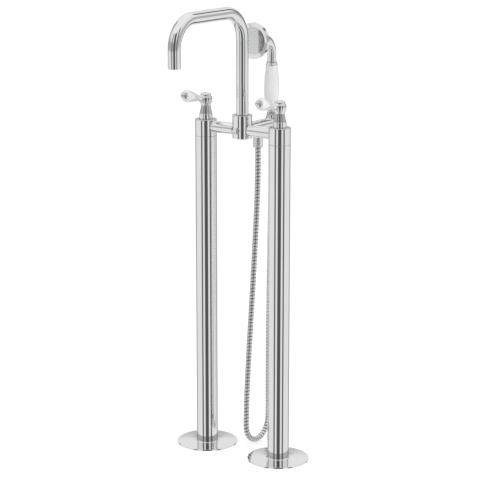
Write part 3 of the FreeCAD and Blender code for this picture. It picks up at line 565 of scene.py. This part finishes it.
leverGrip = {
    "profile": [
        (22.5, 2.6, 0), (22.5, 6.2, 0.5), (30.0, 7.0, 40), (44.0, 9.4, 40), (60.0, 12.9, 40),
        (74.5, 14.3, 40), (82.6, 11.2, 6), (83.5, 9.3, 0.4), (83.5, 2.6, 0),
    ],
}
leverEnd = {
    "profile": [
        (82.0, 0, 0), (82.0, 2.45, 0.1), (83.5, 2.5, 0), (83.5, 9.2, 0.4), (86.3, 9.2, 0.8),
        (87.2, 6.4, 0.5), (87.0, 3.0, 0.6), (88.4, 2.3, 0.6), (89.2, 4.1, 1.4),
        (92.4, 4.3, 2.4), (93.7, 1.8, 2), (93.7, 0, 0),
    ],
}


def makeLever(side, x):
    body = side + "_lever"
    axis = straightLine((x, 0, 0), upward)
    tilt = math.radians(leverHub["tilt"])
    reach = straightLine((x, 0, leverHub["centre"]), (0, -math.cos(tilt), math.sin(tilt)))
    hubShell = carried(rounded(leverHub["profile"], 9), axis, 96)
    near, far, r = leverHub["bossStart"], leverHub["bossEnd"], leverHub["bossRadius"]
    boss = rounded([(near, 0, 0), (near, r, 0.3), (far, r, 0.3), (far, 0, 0)])
    makePiece(side + "LeverHub", [hubShell, carried(boss, reach, 64)], "chrome", body,
              side + "_lever_hub", side + "_lever_screw")
    makePiece(side + "IndexCap", [carried(rounded(indexCap["profile"], 9), axis, 96)],
              "chrome", body, side + "_index_cap")
    closedLoops = (
        ("LeverCollar", leverCollar, "chrome", "_lever_collar"),
        ("LeverGrip", leverGrip, "porcelain", "_lever_grip"),
    )
    for name, shape, slot, node in closedLoops:
        profile = rounded(shape["profile"], 13)
        makePiece(side + name, [carried(profile, reach, 96, True)], slot, body, side + node)
    makePiece(side + "LeverEnd", [carried(rounded(leverEnd["profile"], 9), reach, 72)],
              "chrome", body, side + "_lever_end")


for side, x in sides:
    makeLegs(side, x)
    bonnetShell = carried(
        rounded(bonnet["profile"], 9)[:-1], straightLine((x, 0, 0), upward), 96, True)
    makePiece(side + "Bonnet", [bonnetShell], "chrome", "stand", side + "_bonnet")
    makeLever(side, x)
print("legs, valves and levers made")

# Bridge, hub, rear arm, hose outlet and cradle
bridge = {"height": 772.0, "radius": 13.5, "wall": 3.5, "near": 16.0, "far": 85.5}
hub = {
    "radius": 22.8, "screw": 795.5,
    "glandHole": (11.0, 24.0, 7.0),  # from, to, radius
    "profile": [
        (753.0, 0, 0), (753.0, 22.8, 1.5), (763.0, 22.8, 0), (781.0, 22.8, 0),
        (791.0, 22.8, 0), (800.0, 22.8, 0), (807.0, 22.8, 1.5), (807.0, 11.0, 0.2),
        (760.0, 11.0, 0.2), (760.0, 0, 0),
    ],
}
knob = {
    "profile": [
        (22.9, 0, 0), (22.9, 5.8, 0.3), (23.9, 7.4, 0.6), (30.3, 7.4, 1.4), (31.7, 5.6, 1.2),
        (31.2, 0, 0),
    ],
}
outlet = {
    "place": 63.0,
    "profile": [
        (733.5, 6.2, 0), (733.5, 10.0, 0.3), (749.5, 10.0, 0.2), (749.5, 11.7, 0.5),
        (768.0, 11.7, 0.3), (768.0, 6.2, 0), (733.5, 6.2, 0),
    ],
    "nut": [
        (721.5, 4.6, 0), (721.5, 9.2, 0.4), (723.6, 11.7, 1.2), (726.3, 11.7, 0.4),
        (726.9, 11.15, 0.3), (727.9, 11.15, 0.3), (728.5, 11.7, 0.4), (749.1, 11.7, 0.5),
        (749.1, 10.1, 0.2), (732.5, 10.1, 0.2), (732.5, 4.6, 0), (721.5, 4.6, 0),
    ],
}
cradle = {
    "place": 118.0, "wall": 12.9,
    "slot": 15.2, "slotLow": 740.0, "slotHigh": 810.0, "slotDepth": 30.0,
    "profile": [
        (758.5, 8.3, 0.2), (758.5, 13.5, 1.0), (783.5, 13.5, 1.2), (786.4, 12.9, 1.2),
        (793.0, 10.9, 6), (800.0, 9.9, 2.5), (801.2, 10.4, 0.6), (803.0, 10.4, 0.5),
        (803.0, 9.3, 0.3), (792.0, 8.3, 0.5), (758.5, 8.3, 0),
    ],
}


def makeBridge():
    b = bridge
    low, high, r, inner = b["near"], b["far"], b["radius"], b["radius"] - b["wall"]
    loop = rounded([
        (low, inner, 0.2), (low, r, 0.2), (high, r, 0.2), (high, inner, 0.2),
        (low, inner, 0)])[:-1]
    for side, way in (("left", -1), ("right", 1)):
        axis = straightLine((0, 0, b["height"]), (way, 0, 0))
        makePiece(side + "BridgeTube", [carried(loop, axis, 96, True)], "chrome", "stand",
                  side + "_bridge")
    # the arm's far end follows the cradle's round wall: y = y - square root of (wall^2 - x^2)
    arm = loop.copy()
    arm[:, 0] = np.interp(arm[:, 0], (low, high), (low, cradle["place"]))
    points, faces = carried(arm, straightLine((0, 0, b["height"]), backward), 96, True)
    drawnBack = np.sqrt(np.maximum(cradle["wall"] ** 2 - points[:, 0] ** 2, 0))
    points[:, 1] -= np.where(points[:, 1] > cradle["place"] / 2, drawnBack, 0)
    makePiece("rearArmTube", [(points, faces)], "chrome", "stand", "rear_arm")


def makeHub():
    upright = straightLine((0, 0, 0), upward)
    front = straightLine((0, 0, bridge["height"]), frontward)
    piece = makePiece("centreHub", [carried(rounded(hub["profile"]), upright, 128)],
                      "chrome", "stand", "hub")
    cutAway(piece, [screwHole((0, 0, hub["screw"]), hub["radius"]),
                    rod(*hub["glandHole"], front, 64)])
    screws = [screwEnd((x, 0, leg["screw"]), leg["radius"]) for side, x in sides]
    screws.append(screwEnd((0, 0, hub["screw"]), hub["radius"]))
    makePiece("setScrews", screws, "steel", "stand", "grub_screws")
    makePiece("diverterKnob", [carried(rounded(knob["profile"], 9), front, 72)], "chrome",
              "diverter", "diverter_knob")


def makeOutlet():
    out = straightLine((0, outlet["place"], 0), upward)
    makePiece("hoseOutlet", [carried(rounded(outlet["profile"])[:-1], out, 96, True)],
              "chrome", "stand", "hose_outlet")
    return makePiece("hoseNut", [carried(rounded(outlet["nut"])[:-1], out, 96, True)],
                     "chrome", "stand", "hose_nut")


def boxShell(low, high):
    # the eight corners of a box between its lowest and its highest corner, and its six sides
    corner = np.array([[(low, high)[(k >> i) & 1][i] for i in range(3)] for k in range(8)], float)
    faces = [(0, 2, 3, 1), (4, 5, 7, 6), (0, 1, 5, 4), (2, 6, 7, 3), (0, 4, 6, 2), (1, 3, 7, 5)]
    return corner, faces


def makeCradle():
    c = cradle
    upright = straightLine((0, c["place"], 0), upward)
    body = carried(rounded(c["profile"], 9)[:-1], upright, 96, True)
    piece = makePiece("handsetCradle", [body], "chrome", "stand", "cradle")
    half = c["slot"] / 2
    cutAway(piece, [boxShell((-half, c["place"], c["slotLow"]),
                             (half, c["place"] + c["slotDepth"], c["slotHigh"]))])


makeBridge()
makeHub()
hoseNut = makeOutlet()
makeCradle()
print("bridge, hub and cradle made")

# Spout: the profile runs up the outside, round the open end and back inside
spout = {
    "reach": 252.0, "top": 1042.0, "foot": 807.4, "end": 939.5, "bend": 63.0,
    "radius": 14.13, "wall": 1.63, "inside": 15.0, "rowStep": 4.0,
}
aerator = {"radius": 12.4, "height": 12.0, "recess": 3.0, "holes": 6, "circle": 7.0,
           "hole": 1.7, "holeDepth": 10.0}


def makeSpout():
    s = spout
    points = bentPoints(
        [(0, 0, s["foot"]), (0, 0, s["top"]), (0, -s["reach"], s["top"]),
         (0, -s["reach"], s["end"])], [s["bend"], s["bend"]])
    line, length = tracedLine(points, (1, 0, 0))
    r, wall = s["radius"], s["wall"]
    profile = rounded([
        (0, 0, 0), (0, r, 0.4), (length, r, 0.5), (length, r - wall, 0.5),
        (length - s["inside"], r - wall, 0.2), (length - s["inside"], 0, 0)])
    makePiece("swanNeckSpout", [carried(filledIn(profile, s["rowStep"]), line, 96)], "chrome",
              "spout", "spout")
    a = aerator
    low, high = a["recess"], a["recess"] + a["height"]
    disc = carried(rounded([
        (low, 0, 0), (low, a["radius"], 0.4), (high, a["radius"], 0.2), (high, 0, 0)]),
        straightLine((0, -s["reach"], s["end"]), upward), 96)
    piece = makePiece("aeratorInsert", [disc], "aerator", "spout", "aerator")
    holes = []
    for turn in np.arange(a["holes"]) * 2 * math.pi / a["holes"]:
        centre = (a["circle"] * math.cos(turn), -s["reach"] + a["circle"] * math.sin(turn),
                  s["end"])
        holes.append(rod(0, a["holeDepth"], a["hole"], straightLine(centre, upward), 24))
    cutAway(piece, holes)


makeSpout()
print("spout made")

# Hand shower
handset = {
    "place": 118.0,
    "cone": [
        (792.1, 5.0, 0), (792.1, 8.2, 0.3), (802.6, 9.2, 0.2), (803.1, 10.9, 0.3),
        (806.1, 10.9, 0.8), (806.1, 9.0, 0.4), (810.6, 9.0, 0.3), (810.6, 5.0, 0),
        (792.1, 5.0, 0),
    ],
    "ferrule": [
        (810.6, 5.0, 0), (810.6, 13.0, 0.5), (811.6, 14.2, 0.7), (814.4, 14.2, 0.9),
        (815.6, 13.4, 0.3), (815.6, 5.0, 0), (810.6, 5.0, 0),
    ],
    "handle": [
        (815.6, 7.0, 0), (815.6, 13.2, 0.5), (824.0, 15.2, 40), (838.0, 17.45, 40),
        (856.0, 17.6, 40), (876.0, 16.5, 40), (894.0, 14.7, 40), (905.4, 13.4, 3),
        (906.6, 12.6, 0.5), (906.6, 7.0, 0), (815.6, 7.0, 0),
    ],
    "collar": [
        (906.6, 7.5, 0), (906.6, 13.4, 0.4), (908.0, 13.9, 0.6), (910.4, 13.9, 0.8),
        (911.4, 12.2, 0.6), (913.8, 11.4, 0.8), (916.6, 11.1, 0.4), (916.6, 7.5, 0),
        (906.6, 7.5, 0),
    ],
    "neckRadius": 10.4, "neckBend": 35.0, "neckFoot": 914.0, "neckInRose": 18.0,
    "neckRowStep": 2.5, "roseHeight": 971.0, "roseFace": 39.6,
    "rose": [
        (6.0, 0, 0), (6.0, 31.0, 0.2), (4.0, 31.0, 0.4), (0.4, 39.4, 0.5), (0.0, 40.2, 0.3),
        (0.6, 41.0, 0.5), (9.6, 41.0, 1.6), (14.4, 34.5, 7), (17.6, 26.0, 8), (19.4, 15.0, 4),
        (19.9, 11.9, 0.5), (20.8, 11.6, 0.5), (20.8, 0, 0),
    ],
    "plate": [(4.05, 0, 0), (4.05, 30.9, 0.2), (5.9, 30.9, 0.1), (5.9, 0, 0)],
    "hole": 0.8, "holeStart": 3.5, "holeDepth": 1.5,
    "rings": ((5.5, 6), (11.0, 12), (16.5, 18), (22.0, 24), (27.5, 30)),  # radius, holes
}


def makeHandset():
    h = handset
    y, high = h["place"], h["roseHeight"]
    upright = straightLine((0, y, 0), upward)
    turnedPieces = (
        ("hoseCone", "cone", "chrome", "hose_cone"),
        ("handsetFerrule", "ferrule", "chrome", "handset_ferrule"),
        ("handsetHandle", "handle", "porcelain", "handset_handle"),
        ("handsetCollar", "collar", "chrome", "handset_collar"),
    )
    for name, shape, slot, node in turnedPieces:
        profile = rounded(h[shape], 13)[:-1]
        makePiece(name, [carried(profile, upright, 112, True)], slot, "handset", node)
    points = bentPoints(
        [(0, y, h["neckFoot"]), (0, y, high), (0, h["roseFace"] + h["neckInRose"], high)],
        [h["neckBend"]])
    line, length = tracedLine(points, (1, 0, 0))
    r = h["neckRadius"]
    profile = filledIn(rounded([(0, 0, 0), (0, r, 0.2), (length, r, 0.2), (length, 0, 0)]),
                       h["neckRowStep"])
    makePiece("handsetNeck", [carried(profile, line, 96)], "chrome", "handset",
              "handset_neck")
    back = straightLine((0, h["roseFace"], high), backward)
    makePiece("showerRose", [carried(rounded(h["rose"], 9), back, 144)], "chrome", "handset",
              "handset_rose")
    plate = makePiece("roseFacePlate", [carried(rounded(h["plate"]), back, 144)], "rose_plate",
                      "handset", "rose_plate")
    holes = []
    for ring, count in h["rings"]:
        for turn in np.arange(count) * 2 * math.pi / count:
            centre = (ring * math.cos(turn), h["roseFace"] + h["holeStart"],
                      high + ring * math.sin(turn))
            holes.append(rod(0, h["holeDepth"], h["hole"], straightLine(centre, backward), 12))
    cutAway(plate, holes)


makeHandset()
print("hand shower made")

# CAD nodes that still show get their own finish
for name, node in cadNodes.items():
    if not node.hide_render:
        slot = node.data.materials[0].name if node.data.materials else "chrome"
        node.data.materials.clear()
        node.data.materials.append(finishes.get(slot.split(".")[0], finishes["chrome"]))
print("inner nodes finished")

# Floor, light and surroundings
studio = {
    "floorColour": (0.80, 0.80, 0.80), "floorGlow": 0.46, "floorSize": 30.0,
    "floorDrop": 0.0006, "light": 0.70, "aim": (0, 0, 0.6),
    "keyPower": 30.0, "keyPlace": (2.6, -0.6, 1.8), "keySize": (1.4, 1.8),
    "fillPower": 14.0, "fillPlace": (-1.6, -2.2, 2.2), "fillSize": (1.0, 1.6),
}
# What polished metal sees: a plain square booth, its corners at 45 and 135 degrees from the
# camera's side. It has a dark gap for the camera and a dark post in each corner, alike on both
# sides. Its layers begin at heights of direction in equal steps, where -1 is straight down and
# 1 is straight up.
booth = {
    "dark": 0.1, "darkPlaces": [(0, 15), (40, 50), (130, 140)],
    "fade": 5,  # degrees over which a dark edge fades
    "blur": 0.1,  # height over which one layer passes into the next
    "floor": 0.9, "walls": (-0.1, 0.5), "screens": (0.3, 0.9), "ceiling": (0.7, 1.0),
}


def layerTone(tree, share, tone):
    # The share runs from 0 to 1 while the angle runs from -180 to 180
    places = booth["darkPlaces"]
    spans = [(-high, -low) for low, high in reversed(places[1:])]
    spans += [(-places[0][1], places[0][1])] + places[1:]
    stops = [(-180, tone)]
    for low, high in spans:
        stops += [(low - booth["fade"], tone), (low, booth["dark"]), (high, booth["dark"]),
                  (high + booth["fade"], tone)]
    ramp = tree.nodes.new("ShaderNodeValToRGB")
    elements = ramp.color_ramp.elements
    while len(elements) < len(stops):
        elements.new(0.5)
    for element, (place, level) in zip(elements, stops):
        element.position = place / 360 + 0.5
        element.color = (level, level, level, 1)
    tree.links.new(share, ramp.inputs["Fac"])
    return ramp.outputs["Color"]


def mathNode(tree, operation, *values):
    node = tree.nodes.new("ShaderNodeMath")
    node.operation = operation
    for socket, value in zip(node.inputs, values):
        if isinstance(value, (int, float)):
            socket.default_value = value
        else:
            tree.links.new(value, socket)
    return node.outputs["Value"]


def eased(tree, source, low, high):
    reach = tree.nodes.new("ShaderNodeMapRange")
    reach.interpolation_type = "SMOOTHSTEP"
    reach.inputs["From Min"].default_value = low
    reach.inputs["From Max"].default_value = high
    tree.links.new(source, reach.inputs["Value"])
    return reach.outputs["Result"]


def mixedTone(tree, share, first, second):
    mix = tree.nodes.new("ShaderNodeMix")
    mix.data_type = "RGBA"  # inputs 6 and 7 and output 2 are its colours
    tree.links.new(share, mix.inputs["Factor"])
    for socket, value in ((6, first), (7, second)):
        if isinstance(value, tuple):
            mix.inputs[socket].default_value = (*value, 1)
        else:
            tree.links.new(value, mix.inputs[socket])
    return mix.outputs[2]


def backdrop(tree, strength, colour):
    shade = tree.nodes.new("ShaderNodeBackground")
    shade.inputs["Strength"].default_value = strength
    if isinstance(colour, tuple):
        shade.inputs["Color"].default_value = (*colour, 1)
    else:
        tree.links.new(colour, shade.inputs["Color"])
    return shade.outputs[0]


def eitherShader(tree, share, first, second):
    mix = tree.nodes.new("ShaderNodeMixShader")
    for socket, value in zip(mix.inputs, (share, first, second)):
        tree.links.new(value, socket)
    return mix.outputs[0]


def makeSurroundings():
    world = bpy.data.worlds.new("studioRound")
    bpy.context.scene.world = world
    world.use_nodes = True
    tree = world.node_tree
    tree.nodes.clear()
    output = tree.nodes.new("ShaderNodeOutputWorld")
    direction = tree.nodes.new("ShaderNodeTexCoord")
    turned = tree.nodes.new("ShaderNodeVectorRotate")
    turned.rotation_type = "Z_AXIS"
    turned.inputs["Angle"].default_value = math.radians(-cameraView["turn"])
    split = tree.nodes.new("ShaderNodeSeparateXYZ")
    tree.links.new(direction.outputs["Generated"], turned.inputs["Vector"])
    tree.links.new(turned.outputs["Vector"], split.inputs["Vector"])
    towards = mathNode(tree, "MULTIPLY", split.outputs["Y"], -1.0)
    angle = mathNode(tree, "ARCTAN2", split.outputs["X"], towards)
    share = mathNode(tree, "MULTIPLY_ADD", angle, 1 / (2 * math.pi), 0.5)
    tone = layerTone(tree, share, booth["floor"])
    for name in ("walls", "screens", "ceiling"):
        foot, plain = booth[name]
        above = (plain,) * 3 if name == "ceiling" else layerTone(tree, share, plain)
        low, high = foot - booth["blur"] / 2, foot + booth["blur"] / 2
        tone = mixedTone(tree, eased(tree, split.outputs["Z"], low, high), tone, above)
    path = tree.nodes.new("ShaderNodeLightPath")
    white = (1.0, 1.0, 1.0)
    unseen = eitherShader(tree, path.outputs["Is Glossy Ray"],
                          backdrop(tree, studio["light"], white), backdrop(tree, 1, tone))
    seen = eitherShader(tree, path.outputs["Is Camera Ray"], unseen, backdrop(tree, 1, white))
    tree.links.new(seen, output.inputs["Surface"])


def makeFloor():
    size, low = studio["floorSize"], -studio["floorDrop"]
    mesh = bpy.data.meshes.new("floor")
    mesh.from_pydata([(-size, -size, low), (size, -size, low), (size, size, low),
                      (-size, size, low)], [], [(0, 1, 2, 3)])
    floor = bpy.data.objects.new("floor", mesh)
    bpy.context.scene.collection.objects.link(floor)
    material = bpy.data.materials.new("paleFloor")
    material.use_nodes = True
    tree = material.node_tree
    tree.nodes.clear()
    output = tree.nodes.new("ShaderNodeOutputMaterial")
    matt = tree.nodes.new("ShaderNodeBsdfDiffuse")
    matt.inputs["Color"].default_value = (*studio["floorColour"], 1)
    glow = tree.nodes.new("ShaderNodeEmission")
    path = tree.nodes.new("ShaderNodeLightPath")
    strength = mathNode(tree, "MULTIPLY", path.outputs["Is Camera Ray"], studio["floorGlow"])
    tree.links.new(strength, glow.inputs["Strength"])
    both = tree.nodes.new("ShaderNodeAddShader")
    tree.links.new(matt.outputs[0], both.inputs[0])
    tree.links.new(glow.outputs[0], both.inputs[1])
    # polished metal sees the booth's own floor tone in place of this floor
    clear = tree.nodes.new("ShaderNodeBsdfTransparent")
    shown = eitherShader(tree, path.outputs["Is Glossy Ray"], both.outputs[0], clear.outputs[0])
    tree.links.new(shown, output.inputs["Surface"])
    mesh.materials.append(material)


def softLamp(name, place, power, size):
    lamp = bpy.data.lights.new(name, "AREA")
    lamp.energy = power
    lamp.shape = "RECTANGLE"
    lamp.size, lamp.size_y = size
    holder = bpy.data.objects.new(name, lamp)
    holder.location = place
    holder.visible_glossy = False
    aim = np.array(studio["aim"]) - np.array(place)
    holder.rotation_mode = "QUATERNION"
    holder.rotation_quaternion = Vector(aim).to_track_quat("-Z", "Y")
    bpy.context.scene.collection.objects.link(holder)


makeSurroundings()
makeFloor()
softLamp("keyLamp", studio["keyPlace"], studio["keyPower"], studio["keySize"])
softLamp("fillLamp", studio["fillPlace"], studio["fillPower"], studio["fillSize"])
print("studio made")
